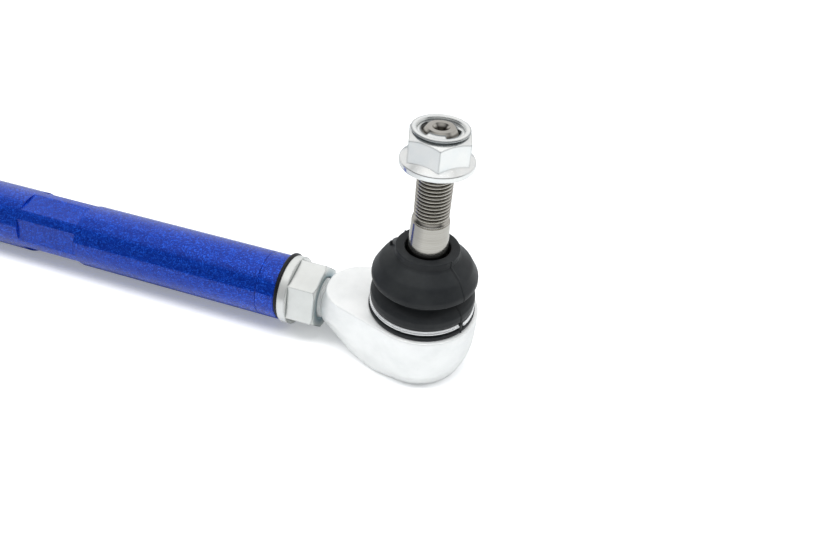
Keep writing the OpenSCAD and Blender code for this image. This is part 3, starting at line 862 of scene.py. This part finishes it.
def makeLockRing():  # two tongues reach over the end of the stud's chamfer
    s = lockSizes
    ring = turned("lock_ring_right_tongued", rounded([
        (s["bore"], s["ringLow"], 0.2), (s["ring"], s["ringLow"], 0.2),
        (s["ring"], s["ringTop"], 0.3), (s["lip"] - 0.5, s["ringTop"]),
        (s["tongue"] + 0.1, s["ringTop"] + 0.95, 0.15),
        (s["tongue"] - 0.05, s["ringTop"] + 0.6, 0.05),
        (s["bore"] + 0.02, s["ringTop"] - 1.0)], 3), 120)
    for turn, half in s["openings"]:
        nothingSelected()
        bpy.ops.mesh.primitive_cylinder_add(vertices=64, radius=s["opening"] * mm, depth=4 * mm,
                                            location=(0, 0, (s["ringTop"] + 0.9) * mm))
        slot = bpy.context.object
        edit(slot)
        reach = math.radians(half)
        for side in (-1, 1):
            bpy.ops.mesh.select_all(action="SELECT")
            bpy.ops.mesh.bisect(
                plane_co=(0, 0, 0), plane_no=(-math.sin(reach), side * math.cos(reach), 0),
                use_fill=True, clear_outer=True)
        bpy.ops.object.mode_set(mode="OBJECT")
        slot.rotation_euler.z = math.radians(turn)
        settle(slot)
        combine(ring, slot, "DIFFERENCE")
    outward(ring, 0.002)
    breakEdges(ring, 0.08, 40, 2, 40)
    ring.location.z = s["foot"] * mm
    settle(ring)
    atEnd(ring)
    twin = otherEnd(ring)
    for piece, end in ((ring, "right"), (twin, "left")):
        dress(piece, metals["nutZinc"], end + "_stud", ["lock_ring_" + end])

makeLockNut()
makeLockRing()
print("lock nuts made")


kept = {"cover_plate": metals["zincPlate"], "spring_washer": metals["springSteel"],
        "bearing_cup": softs["bearingPlastic"], "boot_neck_ring": metals["springSteel"]}

for name, finish in kept.items():
    for end in ends:
        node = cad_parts[name + "_" + end]
        node.data.materials.clear()
        node.data.materials.append(finish)
print("kept nodes finished")


# the floor's colour in reflections is painted: dimmer than the camera sees it, and dimmest by the
# tube as painted shadow
studio = {"floor": 6, "floorLow": 0.0002, "floorColor": (0.88, 0.88, 0.88),
          "glossDim": (0.49, 0.50, 0.51), "glossBright": (0.72, 0.73, 0.73),
          "paintedReflectionPool": (0.05, 0.13), "glow": (0.95, 0.98, 1.0), "lift": 0.22, "far": (0.5, 1.6),
          "fill": (0.46, 0.48, 0.50), "dark": 0.07, "back": 0.78, "backFrom": (-0.05, 0.3),
          "top": 0.95, "topFrom": (0.62, 0.97), "lamp": 21, "lampLong": 2.2, "lampWide": 0.4,
          "lampPlace": (0.05, -0.18, 1.2)}

def makeFloor():
    s = studio
    nothingSelected()
    bpy.ops.mesh.primitive_plane_add(size=s["floor"], location=(0, 0, -s["floorLow"]))
    floor = bpy.context.object
    floor.name = "studio_floor"
    finish = bpy.data.materials.new("paleFloor")
    finish.use_nodes = True
    nodes, links = finish.node_tree.nodes, finish.node_tree.links
    nodes.remove(nodes["Principled BSDF"])
    matt = nodes.new("ShaderNodeBsdfDiffuse")
    glow = nodes.new("ShaderNodeEmission")
    glow.inputs["Color"].default_value = (*s["glow"], 1)
    rays = nodes.new("ShaderNodeLightPath")
    place = nodes.new("ShaderNodeTexCoord").outputs["Object"]
    axes = nodes.new("ShaderNodeSeparateXYZ")
    links.new(place, axes.inputs["Vector"])
    paintedReflectionPool = spread(nodes, links, axes.outputs["X"], *s["paintedReflectionPool"], 0, 1)  # painted reflection of the floor: dim by the tube as painted shadow, brightest by the stud
    gloss = mixColors(nodes, links, paintedReflectionPool, s["glossDim"], s["glossBright"])
    links.new(mixColors(nodes, links, rays.outputs["Is Glossy Ray"], s["floorColor"], gloss),
              matt.inputs["Color"])
    away = spread(nodes, links, lengthOf(nodes, links, place), *s["far"], s["lift"], 1)
    lift = reckon(nodes, links, "MULTIPLY", rays.outputs["Is Camera Ray"], away)
    links.new(lift, glow.inputs["Strength"])  # keeps the floor white far from the lamp
    both = nodes.new("ShaderNodeAddShader")
    links.new(matt.outputs[0], both.inputs[0])
    links.new(glow.outputs[0], both.inputs[1])
    links.new(both.outputs[0], nodes["Material Output"].inputs["Surface"])
    floor.data.materials.append(finish)

# White where the camera looks, and a dark room with a white back and top in reflections.
def makeWorld():
    s = studio
    world = bpy.data.worlds.new("studio")
    bpy.context.scene.world = world
    world.use_nodes = True
    nodes, links = world.node_tree.nodes, world.node_tree.links
    around = nodes.new("ShaderNodeTexCoord")
    axes = nodes.new("ShaderNodeSeparateXYZ")
    links.new(around.outputs["Generated"], axes.inputs["Vector"])
    behind = spread(nodes, links, axes.outputs["Y"], *s["backFrom"], s["dark"], s["back"])
    above = spread(nodes, links, axes.outputs["Z"], *s["topFrom"], 0, s["top"])
    room = reckon(nodes, links, "MAXIMUM", behind, above)
    rays = nodes.new("ShaderNodeLightPath")
    lit = mixColors(nodes, links, rays.outputs["Is Glossy Ray"], s["fill"], room)
    seen = reckon(nodes, links, "MAXIMUM", rays.outputs["Is Camera Ray"],
                  rays.outputs["Is Transmission Ray"])
    links.new(mixColors(nodes, links, seen, lit, (1, 1, 1)), nodes["Background"].inputs["Color"])

def addLamp():
    bpy.ops.object.light_add(type="AREA", location=studio["lampPlace"])
    lamp = bpy.context.object
    lamp.data.shape = "RECTANGLE"
    lamp.data.size, lamp.data.size_y = studio["lampLong"], studio["lampWide"]
    lamp.data.energy = studio["lamp"]
    lamp.visible_glossy = False  # the world's top stands for it in reflections
    lamp.rotation_euler = Vector(studio["lampPlace"]).to_track_quat("Z", "Y").to_euler()

makeFloor()
makeWorld()
addLamp()
bpy.context.scene.view_settings.view_transform = "Standard"
print("studio lit")
